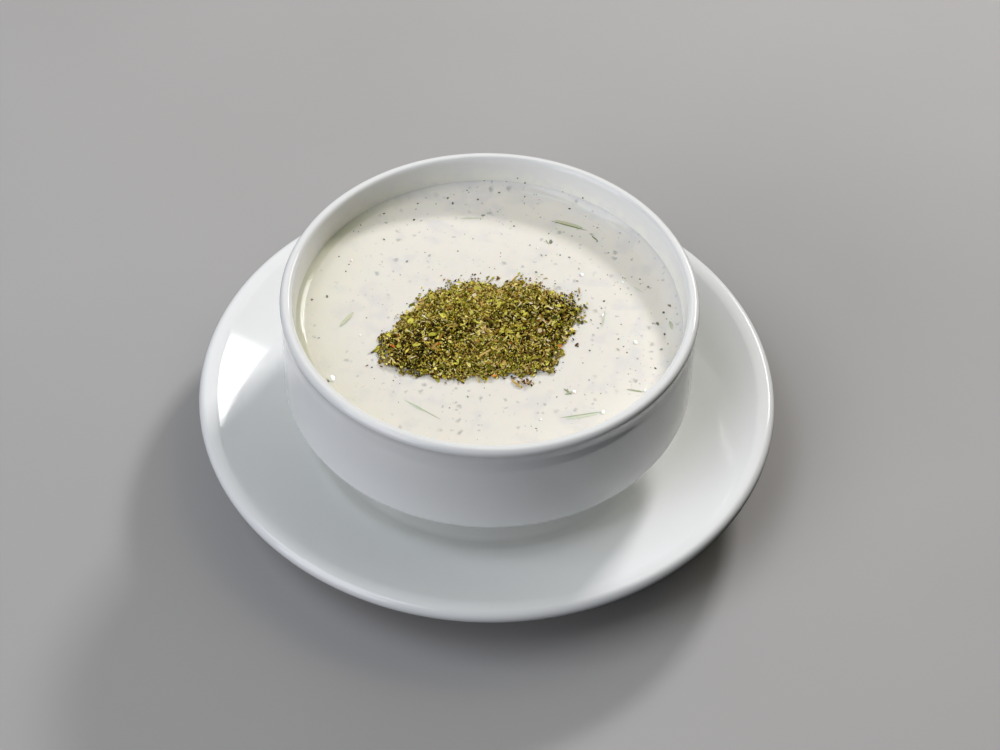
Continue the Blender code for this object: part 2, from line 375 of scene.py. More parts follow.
def tzatziki_cream(name):
    """Creamy white yogurt with soft grey-green bits that lie just under its skin."""
    material, tree, shader = new_material(name)
    place = add_node(tree, "ShaderNodeTexCoord").outputs["Object"]
    cream = add_node(tree, "ShaderNodeTexNoise", {"Vector": place, "Scale": 60.0, "Detail": 3.0})
    colour = add_mix(tree, cream.outputs["Fac"], (0.865, 0.83, 0.745), (0.885, 0.855, 0.785))
    reach = axis_reach(tree, place)
    across = add_node(tree, "ShaderNodeSeparateXYZ", {0: place})
    crowd = add_node(tree, "ShaderNodeTexNoise", {"Vector": place, "Scale": 85.0, "Detail": 2.0})
    crowded = fade(tree, crowd.outputs["Fac"], 0.34, 0.54)
    smoke = add_node(tree, "ShaderNodeTexNoise", {"Vector": place, "Scale": 170.0, "Detail": 2.0})
    colour = add_mix(tree, fade(tree, smoke.outputs["Fac"], 0.48, 0.72, 0.30), colour, (0.66, 0.665, 0.69))
    for scale, least, width, strength, tint in ((200.0, 0.38, 0.22, 0.72, (0.38, 0.39, 0.37)),
                                                (310.0, 0.40, 0.21, 0.75, (0.44, 0.45, 0.46)),
                                                (520.0, 0.35, 0.20, 0.50, (0.50, 0.51, 0.53))):
        spots = add_math(tree, "MULTIPLY", soft_spots(tree, place, scale, least, width, strength), crowded)
        colour = add_mix(tree, spots, colour, tint)
    film = add_math(tree, "MULTIPLY", fade(tree, reach, dip_edge - 0.0026, dip_edge - 0.0016),
                    fade(tree, across.outputs["X"], -0.024, -0.042, 0.85))
    colour = add_mix(tree, film, colour, (0.60, 0.61, 0.47))
    tint = add_math(tree, "MULTIPLY", fade(tree, reach, 0.030, dip_edge - 0.003),
                    fade(tree, across.outputs["X"], -0.010, -0.045, 0.35))
    colour = add_mix(tree, tint, colour, (0.80, 0.80, 0.62))
    line = add_math(tree, "MULTIPLY", fade(tree, reach, 0.0488, 0.0494), fade(tree, reach, 0.0500, 0.0495))
    line = add_math(tree, "MULTIPLY", line, fade(tree, across.outputs["X"], 0.004, 0.012))
    line = add_math(tree, "MULTIPLY", line, fade(tree, across.outputs["Y"], 0.030, 0.038, 0.6))
    colour = add_mix(tree, line, colour, (0.95, 0.95, 0.88))
    tree.links.new(colour, shader.inputs["Base Color"])
    shader.inputs["Roughness"].default_value = 0.08
    shader.inputs["IOR"].default_value = 1.38
    shader.inputs["Subsurface Weight"].default_value = 0.35
    shader.inputs["Subsurface Radius"].default_value = (1.0, 0.75, 0.45)
    shader.inputs["Subsurface Scale"].default_value = 0.0025
    grain = add_node(tree, "ShaderNodeTexNoise", {"Vector": place, "Scale": 1400.0, "Detail": 2.0})
    bump = add_node(tree, "ShaderNodeBump", {"Strength": 0.10, "Distance": 0.0001,
                                             "Height": grain.outputs["Fac"]})
    tree.links.new(bump.outputs["Normal"], shader.inputs["Normal"])
    return material


def relief(piece, name, grain_size, height, group="", detail=2):
    """Raises and lowers a piece's skin with a soft cloud pattern, and applies it to the mesh."""
    pick_nothing()
    bpy.context.view_layer.objects.active = piece
    cloud = bpy.data.textures.new(name, "CLOUDS")
    cloud.noise_scale = grain_size
    cloud.noise_depth = detail
    displace = piece.modifiers.new(name, "DISPLACE")
    displace.texture = cloud
    displace.texture_coords = "LOCAL"
    displace.direction = "Z"
    displace.mid_level = 0.5
    displace.strength = height
    displace.vertex_group = group
    bpy.ops.object.modifier_apply(modifier=name)


skin = dip.vertex_groups.new(name="skin")
for vertex in dip.data.vertices:
    reach = vertex.co.xy.length
    if vertex.co.z > DIP_LEVEL - 0.0001 and reach < dip_edge - 0.0001:
        skin.add([vertex.index], min(1.0, (dip_edge - reach) / 0.004), "REPLACE")
relief(dip, "stirred_swell", 0.012, 0.00026, "skin", 1)
relief(dip, "grated_lumps", 0.0035, 0.00012, "skin", 2)
dip.data.materials.append(tzatziki_cream("tzatziki_cream"))
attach(dip, "root")
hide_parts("dip")


# ---------------------------------------------------------------------------------------------
# What is stirred into the dip and shows on its skin: shreds of grated cucumber, flecks of dill
# and mint, and small wet lumps. All of them float with their backs just out of the yogurt.
# ---------------------------------------------------------------------------------------------

def dried_leaf(name, tones, roughness=0.75):
    """Dry leaf: each scrap has its own tone, mottled by its veins. On the heap that tone also carries
    painted shade, darker for deeper scraps.
    """
    material, tree, shader = new_material(name)
    place = add_node(tree, "ShaderNodeTexCoord").outputs["Object"]
    tone = add_node(tree, "ShaderNodeAttribute", attribute_name="tone").outputs["Fac"]
    mottle = add_node(tree, "ShaderNodeTexNoise", {"Vector": place, "Scale": 2600.0, "Detail": 3.0})
    share = add_math(tree, "ADD", tone, add_math(tree, "MULTIPLY_ADD", mottle.outputs["Fac"], 0.34))
    share.node.inputs[1].links[0].from_node.inputs[2].default_value = -0.17
    tree.links.new(add_ramp(tree, share, tones), shader.inputs["Base Color"])
    shader.inputs["Roughness"].default_value = roughness
    shader.inputs["IOR"].default_value = 1.4
    shader.inputs["Specular IOR Level"].default_value = 0.2
    bump = add_node(tree, "ShaderNodeBump", {"Strength": 0.6, "Distance": 0.00008,
                                             "Height": mottle.outputs["Fac"]})
    tree.links.new(bump.outputs["Normal"], shader.inputs["Normal"])
    return material


def scrap_shape(corners, raggedness, fold, thickness, seed):
    """One leaf scrap, a unit long: a ragged little plate, folded along its middle."""
    pick_nothing()
    bpy.ops.mesh.primitive_circle_add(vertices=corners, radius=0.5, fill_type="TRIFAN")
    scrap = bpy.context.object
    bpy.ops.object.mode_set(mode="EDIT")
    bpy.ops.transform.vertex_random(offset=raggedness, uniform=0.6, normal=0.0, seed=seed)
    bpy.ops.mesh.extrude_region_move(TRANSFORM_OT_translate={"value": (0, 0, thickness)})
    bpy.ops.mesh.select_all(action="SELECT")
    bpy.ops.mesh.normals_make_consistent(inside=False)
    bpy.ops.object.mode_set(mode="OBJECT")
    for vertex in scrap.data.vertices:
        vertex.co.z += fold * abs(vertex.co.y)
    points = np.array([v.co for v in scrap.data.vertices])
    faces = [list(p.vertices) for p in scrap.data.polygons]
    bpy.data.objects.remove(scrap)
    return points, faces


def stalk_shape(bow, seed):
    """One stalk, a unit long: a thin four-sided stick with a bow in it."""
    pick_nothing()
    bpy.ops.mesh.primitive_cube_add(size=1.0)
    stalk = bpy.context.object
    bpy.ops.object.mode_set(mode="EDIT")
    bpy.ops.mesh.subdivide(number_cuts=2)
    bpy.ops.transform.vertex_random(offset=0.07, uniform=0.5, normal=0.0, seed=seed)
    bpy.ops.object.mode_set(mode="OBJECT")
    for vertex in stalk.data.vertices:
        vertex.co.z += bow * (0.25 - vertex.co.x ** 2)
        vertex.co.y += 0.6 * bow * vertex.co.x ** 2
    points = np.array([v.co for v in stalk.data.vertices])
    faces = [list(p.vertices) for p in stalk.data.polygons]
    bpy.data.objects.remove(stalk)
    return points, faces


def turned_about(yaw, pitch, roll):
    yawed = Matrix.Rotation(yaw, 3, "Z")
    return np.array(yawed @ Matrix.Rotation(pitch, 3, "Y") @ Matrix.Rotation(roll, 3, "X"))


def strew(name, shapes, places, material):
    """Joins many copies into one piece. A place is (shape, xyz, size xyz, turn xyz, tone)."""
    points, faces, tones = [], [], []
    start = 0
    for shape, xyz, size, turn, shade in places:
        corners, sides = shapes[shape]
        put = (corners * size) @ turned_about(*turn).T + xyz
        points.append(put)
        faces += [[start + i for i in side] for side in sides]
        tones += [shade] * len(corners)
        start += len(corners)
    mesh = bpy.data.meshes.new(name)
    mesh.from_pydata(np.vstack(points), [], faces)
    tone = mesh.attributes.new("tone", "FLOAT", "POINT")
    tone.data.foreach_set("value", np.array(tones, np.float32))
    mesh.materials.append(material)
    piece = bpy.data.objects.new(name, mesh)
    bpy.context.scene.collection.objects.link(piece)
    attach(piece, "root")
    return piece


def dip_skin(x, y):
    """Height of the dip's skin under a point."""
    found, spot, _, _ = dip.ray_cast(Vector((x, y, BOWL_TOP)), Vector((0, 0, -1)))
    return spot.z if found else DIP_LEVEL


def mm(*numbers):
    return [number / 1000 for number in numbers]


def shred_shape(bow, seed):
    """One shred of cucumber, a unit long: a flat strip that tapers and bends."""
    pick_nothing()
    bpy.ops.mesh.primitive_cube_add(size=1.0)
    shred = bpy.context.object
    bpy.ops.object.mode_set(mode="EDIT")
    bpy.ops.mesh.subdivide(number_cuts=7)
    bpy.ops.transform.vertex_random(offset=0.03, uniform=0.5, normal=0.0, seed=seed)
    bpy.ops.object.mode_set(mode="OBJECT")
    for vertex in shred.data.vertices:
        taper = max(0.12, 1 - abs(2 * vertex.co.x) ** 3)
        vertex.co.z *= taper * (1 - 1.6 * vertex.co.y ** 2)
        vertex.co.y = vertex.co.y * taper + bow * (0.25 - vertex.co.x ** 2)
    points = np.array([v.co for v in shred.data.vertices])
    faces = [list(p.vertices) for p in shred.data.polygons]
    bpy.data.objects.remove(shred)
    return points, faces


def wet_bit(name, tones, roughness):
    """Soaked vegetable: smooth and shiny, coloured along its tone."""
    material = dried_leaf(name, tones, roughness)
    shader = material.node_tree.nodes["Principled BSDF"]
    shader.inputs["Specular IOR Level"].default_value = 0.5
    shader.inputs["Subsurface Weight"].default_value = 0.3
    shader.inputs["Subsurface Scale"].default_value = 0.001
    material.node_tree.nodes["Bump"].inputs["Strength"].default_value = 0.06
    return material


rng = np.random.default_rng(7)
SHRED_THICKNESS = 0.0005
shreds = [shred_shape(bow, seed) for seed, bow in enumerate((0.0, 0.5, -0.4, 1.2))]
shred_places = []
SHREDS = (
    mm(15.3, 38.4, 26.2, 34.9, 1.5) + [0, 0.62, 0.00000],
    mm(15.3, 37.9, 26.4, 34.3, 0.35) + [0, 0.34, 0.00010],
    mm(-11.7, 37.0, -1.1, 38.0, 0.6) + [1, 0.72, 0.0],
    mm(27.6, 32.2, 29.5, 30.0, 0.40) + [0, 0.30, 0.0001],
    mm(14.5, 30.3, 15.8, 27.5, 0.4) + [1, 0.45, 0.0],
    mm(-39.8, -6.2, -36.4, -0.3, 1.2) + [2, 0.70, 0.00008],
    mm(-22.9, -29.8, -9.8, -38.2, 0.35) + [0, 0.66, 0.00004],
    mm(-24.5, -29.4, -13.0, -36.2, 1.3) + [1, 0.80, -0.00006],
    mm(31.3, 4.4, 30.0, -3.4, 0.5) + [2, 0.70, 0.00003],
    mm(20.0, -25.2, 22.2, -27.4, 0.5) + [1, 0.42, 0.00010],
    mm(20.2, -27.3, 22.6, -26.0, 0.6) + [2, 0.55, 0.00008],
    mm(21.0, -25.0, 21.2, -27.5, 0.4) + [0, 0.50, 0.00006],
    mm(35.6, -24.6, 41.6, -25.6, 0.55) + [1, 0.50, 0.00003],
    mm(17.0, -36.4, 31.0, -32.4, 1.6) + [2, 0.78, -0.00004],
    mm(17.6, -35.6, 30.0, -32.6, 0.3) + [0, 0.64, 0.00008],
    mm(48.3, 0.2, 49.4, -4.0, 1.0) + [1, 0.62, 0.00004],
    mm(38.4, 13.2, 41.6, 10.4, 0.6) + [0, 0.82, 0.0])
for start_x, start_y, end_x, end_y, width, shape, shade, lift in SHREDS:
    middle = Vector(((start_x + end_x) / 2, (start_y + end_y) / 2))
    run = Vector((end_x - start_x, end_y - start_y))
    height = dip_skin(*middle) - 0.30 * SHRED_THICKNESS + lift
    shred_places.append((shape, np.array([*middle, height]), np.array([run.length, width, SHRED_THICKNESS]),
                         (np.arctan2(run.y, run.x), 0.0, 0.0), shade))
strew("cucumber_shreds", shreds, shred_places,
      wet_bit("cucumber", [(0.0, (0.06, 0.065, 0.03)), (0.3, (0.25, 0.27, 0.13)), (0.6, (0.60, 0.63, 0.42)),
                           (0.85, (0.78, 0.79, 0.66))], 0.25))

flecks = [scrap_shape(corners, 0.18, 0.1, 0.2, seed) for seed, corners in enumerate((5, 6, 4, 7))]
fleck_places = []
while len(fleck_places) < 240:
    x, y = rng.uniform(-0.049, 0.049, 2)
    reach = (x * x + y * y) ** 0.5
    lean = 0.30 + 0.40 * max(0.0, x / 0.05) + 0.45 * max(0.0, y / 0.05)
    if reach > 0.0495 or rng.uniform() > lean:
        continue
    size = 0.00034 * rng.lognormal(0, 0.42)
    shade = rng.uniform(0.0, 1.0) ** 0.9
    fleck_places.append((rng.integers(4), np.array([x, y, dip_skin(x, y) - 0.00002]),
                         np.array([size * rng.uniform(1.0, 1.7), size, 0.00025]),
                         (rng.uniform(0, 2 * pi), 0.0, 0.0), shade))
dark_spots = mm(
    -31.0, 37.8, -22.1, 40.4, -22.4, 36.2, -30.3, 27.7, 30.8, 6.8, 23.7, -10.1, 46.9, 3.5, 46.9, -4.6,
    40.7, 15.7, 47.6, -8.2, 5.8, 34.9, 18.8, 24.0, 42.9, 12.8, -39.2, 17.4, -39.8, 14.7, -8.0, 48.6,
    -4.7, 45.4, -13.3, 45.4, 29.8, -1.6, 44.0, -17.0, 1.2, 48.4, 8.6, 47.2)
for x, y in zip(dark_spots[::2], dark_spots[1::2]):
    size = rng.uniform(0.0004, 0.00065)
    fleck_places.append((rng.integers(4), np.array([x, y, dip_skin(x, y)]),
                         np.array([size * 1.4, size, 0.0003]),
                         (rng.uniform(0, 2 * pi), 0.0, 0.0), rng.uniform(0.0, 0.2)))
strew("herb_flecks", flecks, fleck_places,
      wet_bit("soaked_herb", [(0.0, (0.06, 0.055, 0.03)), (0.25, (0.17, 0.17, 0.12)),
                              (0.6, (0.34, 0.35, 0.28)), (1.0, (0.60, 0.58, 0.42))], 0.35))

wall_flecks = []
WALL_SPOTS = (
    (86.5, 1.6), (80.5, 1.9), (98.5, 1.3), (75.0, 1.5), (93.5, 1.7), (101.0, 0.9), (68.0, 1.9),
    (61.0, 2.2), (55.0, 1.4), (83.0, 3.3), (38.0, 1.6), (33.0, 1.3), (20.0, 1.2))
for turn_deg, height in WALL_SPOTS:
    around = radians(turn_deg)
    z = DIP_LEVEL + height / 1000
    reach = wall_radius(z) - 0.00008
    size = rng.uniform(0.0004, 0.0007)
    wall_flecks.append((rng.integers(4), np.array([reach * cos(around), reach * sin(around), z]),
                        np.array([size, size * 0.8, 0.00016]), (around, -pi / 2, 0.0),
                        rng.uniform(0.0, 0.45)))
strew("wall_flecks", flecks, wall_flecks,
      wet_bit("herb_on_wall", [(0.0, (0.045, 0.045, 0.018)), (1.0, (0.34, 0.33, 0.22))], 0.35))

pick_nothing()
bpy.ops.mesh.primitive_uv_sphere_add(segments=20, ring_count=12, radius=0.5)
bead = bpy.context.object
for vertex in bead.data.vertices:
    vertex.co.z *= 0.11 if vertex.co.z > 0 else 0.4
lump_shape = (np.array([v.co for v in bead.data.vertices]), [list(p.vertices) for p in bead.data.polygons])
bpy.data.objects.remove(bead)
lump_places = []
LUMPS = (
    (24.8, 16.8, 1.5), (39.1, -7.9, 1.5), (-38.5, 19.0, 1.0), (-40.0, -24.6, 2.7), (30.5, 1.6, 1.2),
    (-34.0, -9.0, 0.9), (41.2, -25.0, 1.2), (30.2, -32.7, 1.6), (22.8, -26.2, 1.4), (14.2, -36.0, 1.0),
    (36.0, 14.5, 0.9), (12.5, 26.5, 0.9))
for x, y, size in LUMPS:
    lean = radians(18.3 - 0.13 * x)
    x, y, size = x / 1000, y / 1000, size / 1000
    lump_places.append((0, np.array([x, y, dip_skin(x, y) + 0.03 * size]), np.array([size, size, size]),
                        (0.0, lean, 0.0), 0.9))
wet_lump = wet_bit("wet_lump", [(0.0, (0.80, 0.79, 0.68)), (1.0, (0.875, 0.845, 0.77))], 0.05)
lumps = strew("wet_lumps", [lump_shape], lump_places, wet_lump)
lumps.data.materials[0].node_tree.nodes["Principled BSDF"].inputs["IOR"].default_value = 1.6
lumps.data.shade_smooth()


# ---------------------------------------------------------------------------------------------
# Mint heap. Dried mint rubbed between the fingers and dropped in the middle of the dip: a low
# mound whose core is relief, covered by loose leaf crumbs, leaf scraps, stalks and odd bits.
# ---------------------------------------------------------------------------------------------

HEAP_CENTRE = (-0.0017, -0.0060)
HEAP_CORNERS = np.array([(-28, -5), (-26, -15), (-9, -18), (5, -16), (19, -14), (24, 2), (28, 9),
                         (24, 14), (9, 20), (4, 17), (-4, 19), (-17, 12), (-20, 6)]) / 1000
heap_sides = zip(HEAP_CORNERS, np.roll(HEAP_CORNERS, -1, axis=0))
heap_edge = np.concatenate([np.linspace(start, end, 12, endpoint=False) for start, end in heap_sides])
HEAP_PEAK = 0.0034
HEAP_BASE = DIP_LEVEL + 0.0001
HEAP_LUMP_SPACING = 0.014
CORE_SHARE = 0.92                  # the core ends short of the edge, which the crumbs make
CORE_LENGTH = 0.066
CORE_WIDTH = 0.046
CORE_STEP = 0.0005


def heap_reach(angle):
    """Distance from the heap's centre to its edge, which runs straight from corner to corner."""
    edge_angles = np.arctan2(heap_edge[:, 1], heap_edge[:, 0])
    return np.interp(angle, edge_angles, np.hypot(*heap_edge.T), period=2 * pi)


def heap_share(x, y):
    """How far out a point is: 0 at the heap's centre, 1 on its edge."""
    dx, dy = x - HEAP_CENTRE[0], y - HEAP_CENTRE[1]
    return np.hypot(dx, dy) / heap_reach(np.arctan2(dy, dx))


def heap_height(x, y):
    """Height of the core over the dip: a flat dome with a few broad lumps."""
    dome = np.clip(1 - heap_share(x, y) ** 1.8, 0, 1)
    turns = 2 * pi / HEAP_LUMP_SPACING
    lumps = np.sin(turns * x + 1.0) * np.cos(turns * 0.8 * y) + 0.6 * np.sin(turns * 1.7 * y - turns * x)
    return HEAP_PEAK * dome * (1 - 0.07 * (1 + lumps / 1.6))


LEAF_TONES = [(0.0, (0.016, 0.010, 0.002)), (0.28, (0.100, 0.070, 0.006)), (0.54, (0.33, 0.235, 0.016)),
              (0.78, (0.72, 0.55, 0.045)), (1.0, (1.0, 0.90, 0.30))]
GREEN_TONES = [(0.0, (0.013, 0.014, 0.002)), (0.35, (0.088, 0.090, 0.009)), (0.7, (0.31, 0.30, 0.025)),
               (1.0, (0.78, 0.73, 0.12))]
BROWN_TONES = [(0.0, (0.022, 0.010, 0.002)), (0.35, (0.14, 0.070, 0.012)), (0.7, (0.44, 0.25, 0.045)),
               (1.0, (0.80, 0.58, 0.20))]

pick_nothing()
bpy.ops.mesh.primitive_grid_add(x_subdivisions=ceil(CORE_LENGTH / CORE_STEP),
                                y_subdivisions=ceil(CORE_WIDTH / CORE_STEP),
                                size=1.0, location=(*HEAP_CENTRE, HEAP_BASE))
core = bpy.context.object
core.name = "mint_core"
core.scale = (CORE_LENGTH, CORE_WIDTH, 1.0)
settle(core)
bpy.ops.object.mode_set(mode="EDIT")
bpy.ops.mesh.select_all(action="DESELECT")
bpy.ops.object.mode_set(mode="OBJECT")
for vertex in core.data.vertices:
    vertex.select = bool(heap_share(vertex.co.x, vertex.co.y) > CORE_SHARE)
bpy.ops.object.mode_set(mode="EDIT")
bpy.ops.mesh.delete(type="VERT")
bpy.ops.mesh.select_all(action="SELECT")
bpy.ops.mesh.extrude_region_move(TRANSFORM_OT_translate={"value": (0, 0, 0.0001)})
bpy.ops.object.mode_set(mode="OBJECT")
crown = core.vertex_groups.new(name="crown")
for vertex in core.data.vertices:
    if vertex.co.z > HEAP_BASE + 0.00005:
        crown.add([vertex.index], 1.0, "REPLACE")
        vertex.co.z = HEAP_BASE + 0.0001 + float(heap_height(vertex.co.x, vertex.co.y)) * 0.88
relief(core, "crumbly", 0.0012, 0.0012, "crown", 2)
for vertex in core.data.vertices:
    vertex.co.z = max(vertex.co.z, HEAP_BASE - 0.0004)
pick_nothing()
core.select_set(True)
bpy.context.view_layer.objects.active = core
bpy.ops.object.mode_set(mode="EDIT")
bpy.ops.mesh.select_all(action="SELECT")
bpy.ops.mesh.normals_make_consistent(inside=False)
bpy.ops.object.mode_set(mode="OBJECT")
tone = core.data.attributes.new("tone", "FLOAT", "POINT")
# The core gets the darkest leaf tone: painted shade for the gaps between the crumbs, where deeper mint lies
# in shade.
tone.data.foreach_set("value", np.full(len(core.data.vertices), 0.02, np.float32))
core.data.materials.append(dried_leaf("mint_core_painted_shade", LEAF_TONES))
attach(core, "root")
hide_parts("mint_heap")


def ragged(angle):
    """The edge's small bays and points, as a share of its reach."""
    return 0.024 * sin(13 * angle + 1.0) + 0.022 * sin(21 * angle + 2.2) + 0.024 * sin(37 * angle + 0.4)


def heap_places(rng, count, shapes, length, width, thick, tones, tilt, lift, strays=0.04):
    """Random places over the heap. Sizes vary, scraps lean every way, and a few stray past its edge. Deeper
    scraps are painted darker and higher ones lighter: painted shade.
    """
    places = []
    while len(places) < count:
        angle = rng.uniform(0, 2 * pi)
        fringe = max(0.0, sin(angle))
        share = rng.uniform(0, 1) ** 0.5 * (0.99 - 0.05 * fringe + ragged(angle))
        if rng.uniform() < strays:
            share = 0.94 + ragged(angle) + abs(rng.normal(0, 0.040 + 0.055 * fringe))
        reach = heap_reach(angle) * share
        x = HEAP_CENTRE[0] + reach * cos(angle)
        y = HEAP_CENTRE[1] + reach * sin(angle)
        long = length * min(rng.lognormal(0, 0.36), 2.0)
        size = np.array([long, long * width * rng.uniform(0.7, 1.4), thick])
        if share > 0.97:
            z = dip_skin(x, y) + rng.uniform(0.00002, 0.00030)
            lean = 0.35
            depth = 0.5
        else:
            depth = rng.uniform(0, 1)
            thin = min(1.0, 0.3 + 3.0 * (1 - share))
            z = HEAP_BASE + heap_height(x, y) + (lift[0] + (lift[1] - lift[0]) * depth) * thin
            lean = tilt * (0.4 + 0.6 * thin)
        turn = (rng.uniform(0, 2 * pi), rng.normal(0, lean), rng.normal(0, lean))
        # Painted shade: a scrap's tone falls with its depth in the heap and rises towards the top.
        shade = rng.uniform(*tones) + 0.55 * (depth - 0.5)
        places.append((rng.integers(len(shapes)), np.array([x, y, z]), size, turn, shade))
    return places


CRUMB_KINDS = ((4, 0.5), (5, 0.2), (4, -0.5), (5, 0.7), (3, -0.2), (4, 0.9))     # corners and fold
SCRAP_KINDS = ((5, 0.6), (6, 0.3), (5, -0.5), (7, 0.8), (6, -0.3), (4, 0.4))
crumbs = [scrap_shape(corners, 0.18, fold, 0.22, seed) for seed, (corners, fold) in enumerate(CRUMB_KINDS)]
scraps = [scrap_shape(corners, 0.16, fold, 0.14, seed) for seed, (corners, fold) in enumerate(SCRAP_KINDS)]
leaf = dried_leaf("mint_leaf", LEAF_TONES)
green_leaf = dried_leaf("green_mint_leaf", GREEN_TONES)
brown_leaf = dried_leaf("brown_mint_leaf", BROWN_TONES)
strew("mint_crumbs", crumbs,
      heap_places(rng, 8600, crumbs, 0.00050, 0.70, 0.00045, (0.0, 1.05), 0.85, (-0.0003, 0.0006)),
      leaf)
strew("mint_green_crumbs", crumbs,
      heap_places(rng, 2700, crumbs, 0.00060, 0.72, 0.00050, (0.1, 1.0), 0.75, (-0.0002, 0.0006)),
      green_leaf)
strew("mint_brown_crumbs", crumbs,
      heap_places(rng, 3000, crumbs, 0.00054, 0.6, 0.00042, (0.05, 1.0), 0.75, (-0.0002, 0.0006)),
      brown_leaf)
strew("mint_scraps", scraps,
      heap_places(rng, 1700, scraps, 0.00088, 0.5, 0.00060, (0.2, 1.05), 0.60, (-0.0001, 0.0005), 0.02),
      leaf)

loose_green = []
PLACED_SCRAPS = (
    (-8.7, 11.1, 1.3, 20), (-0.9, 14.5, 1.2, 50), (0.5, 14.0, 1.6, 60), (7.6, 16.1, 1.5, 80),
    (-29.7, -14.4, 1.8, 10), (25.6, -1.1, 1.5, -30), (-12.7, -23.8, 2.2, -70), (-18.7, -13.9, 2.6, 30),
    (-14.6, -10.5, 2.9, 25), (0.5, 2.8, 2.4, 40), (5.6, -8.7, 2.3, -20), (7.9, 9.5, 2.0, 70),
    (-1.3, -12.0, 2.0, 15), (9.5, -2.2, 2.2, 50))
for x, y, length, turn_deg in PLACED_SCRAPS:
    x, y = x / 1000, y / 1000
    inside = heap_share(x, y) < 1.0
    z = HEAP_BASE + heap_height(x, y) + 0.00055 if inside else dip_skin(x, y) + 0.0001
    loose_green.append((rng.integers(len(scraps)), np.array([x, y, z]),
                        np.array([length, 0.6 * length, 0.5]) / 1000,
                        (radians(turn_deg), 0.15, -0.2), rng.uniform(0.55, 0.95)))
loose_green += heap_places(rng, 420, scraps, 0.00115, 0.65, 0.00070, (0.3, 1.0), 0.45, (0.0001, 0.0006),
                           0.03)
strew("mint_green_scraps", scraps, loose_green, green_leaf)

stalks = [stalk_shape(bow, seed) for seed, bow in enumerate([0.0, 0.3, -0.25, 0.5])]
straw = dried_leaf("mint_stalk", [(0.0, (0.20, 0.11, 0.02)), (0.5, (0.56, 0.42, 0.12)),
                                  (1.0, (0.95, 0.88, 0.56))])
strew("mint_stalks", stalks,
      heap_places(rng, 620, stalks, 0.00125, 0.14, 0.00018, (0.1, 1.0), 0.35, (0.0002, 0.0005)),
      straw)
loose_brown = []
STRAY_BITS = (
    (-13.7, 14.3, 0.6, 0), (-12.8, 12.8, 0.7, 30), (-12.2, 11.6, 0.6, 60), (-9.6, 12.9, 0.7, 10),
    (-5.2, 13.5, 0.8, 20), (-4.5, 15.1, 0.7, 40), (1.9, 13.9, 1.2, 35), (4.3, 12.9, 1.1, 10),
    (7.0, 14.9, 0.8, 50), (10.6, 14.4, 0.8, 70), (13.6, 13.0, 0.7, 0), (22.1, 9.2, 0.7, 20),
    (21.6, 7.3, 0.8, 0), (22.4, 6.6, 0.6, 0), (27.2, -0.6, 0.5, 0), (23.4, -9.6, 1.3, 30),
    (22.4, -7.8, 0.9, -60), (-22.4, 3.2, 0.6, 0), (-19.1, 7.1, 0.8, 0), (-18.2, 5.3, 0.6, 0),
    (-16.4, 7.6, 0.7, 0), (-31.4, -19.8, 1.0, 0), (-27.7, -20.0, 0.8, 0), (-30.1, -20.4, 0.5, 0),
    (4.7, -21.5, 0.8, 0), (13.8, -23.5, 0.8, 0), (7.0, -22.5, 1.3, 20), (6.4, -21.9, 1.0, 80))
for x, y, length, turn_deg in STRAY_BITS:
    x, y = x / 1000, y / 1000
    loose_brown.append((rng.integers(len(crumbs)), np.array([x, y, dip_skin(x, y) + 0.0001]),
                        np.array([length, 0.62 * length, 0.5]) / 1000,
                        (radians(turn_deg), rng.normal(0, 0.3), rng.normal(0, 0.3)), rng.uniform(0.0, 0.55)))
for i in range(34):
    x, y = 0.0102 + rng.normal(0, 0.0009), -0.0238 + rng.normal(0, 0.0005)
    size = rng.uniform(0.0005, 0.0011)
    loose_brown.append((rng.integers(len(crumbs)),
                        np.array([x, y, dip_skin(x, y) + rng.uniform(0.0001, 0.0008)]),
                        np.array([size, 0.6 * size, 0.0005]),
                        tuple(rng.uniform(-1.0, 1.0, 3)), rng.uniform(0.2, 1.0)))
strew("loose_mint", crumbs, loose_brown, brown_leaf)
curls = heap_places(rng, 130, stalks, 0.0014, 0.24, 0.00030, (0.3, 1.0), 0.30, (0.0003, 0.0006), 0.01)
PLACED_CURLS = (
    (-5.0, -8.7, 2.4, 40, 0.35), (-12.5, -11.4, 2.2, 75, 0.65), (7.8, -24.4, 3.4, -43, 0.9),
    (-16.2, -13.5, 3.0, -50, 0.6), (-8.0, -14.2, 2.4, 55, 0.7), (-0.6, -16.0, 3.0, 40, 0.95),
    (12.0, -17.2, 3.2, 12, 0.2))
for x, y, length, turn_deg, shade in PLACED_CURLS:
    x, y = x / 1000, y / 1000
    base = HEAP_BASE + heap_height(x, y) + 0.0006 if heap_share(x, y) < 1.0 else dip_skin(x, y) + 0.0002
    curls.append((1 + len(curls) % 3, np.array([x, y, base]), np.array([length, 0.42, 0.42]) / 1000,
                  (radians(turn_deg), 0.0, 0.1), shade))
strew("mint_curls", stalks, curls, brown_leaf)

blush = dried_leaf("red_leaf_bit", [(0.0, (0.40, 0.07, 0.015)), (0.5, (0.62, 0.16, 0.03)),
                                    (1.0, (0.80, 0.36, 0.05))])
pale = dried_leaf("pale_stalk_bit", [(0.0, (0.55, 0.38, 0.20)), (1.0, (0.92, 0.84, 0.62))])
red_places = []
pale_places = []
ODD_BITS = (
    (red_places, -25.0, -13.8, 1.5, 0.35), (red_places, 1.8, -22.4, 1.9, 0.8),
    (red_places, 18.9, -11.2, 1.3, 0.75), (red_places, -24.0, -10.2, 0.7, 0.2),
    (red_places, -13.0, -13.8, 0.9, 0.5), (red_places, 6.0, -12.6, 1.0, 0.1),
    (red_places, 15.0, -3.6, 0.8, 0.5), (pale_places, -4.2, 4.6, 1.9, 0.7),
    (pale_places, -16.5, -12.0, 1.4, 1.0), (pale_places, 15.8, -9.9, 1.2, 0.9),
    (pale_places, 9.0, 10.2, 1.7, 0.4), (pale_places, -1.6, -9.6, 1.6, 0.3),
    (pale_places, 13.6, -7.0, 1.9, 0.3), (pale_places, 11.0, 2.6, 1.2, 0.6))
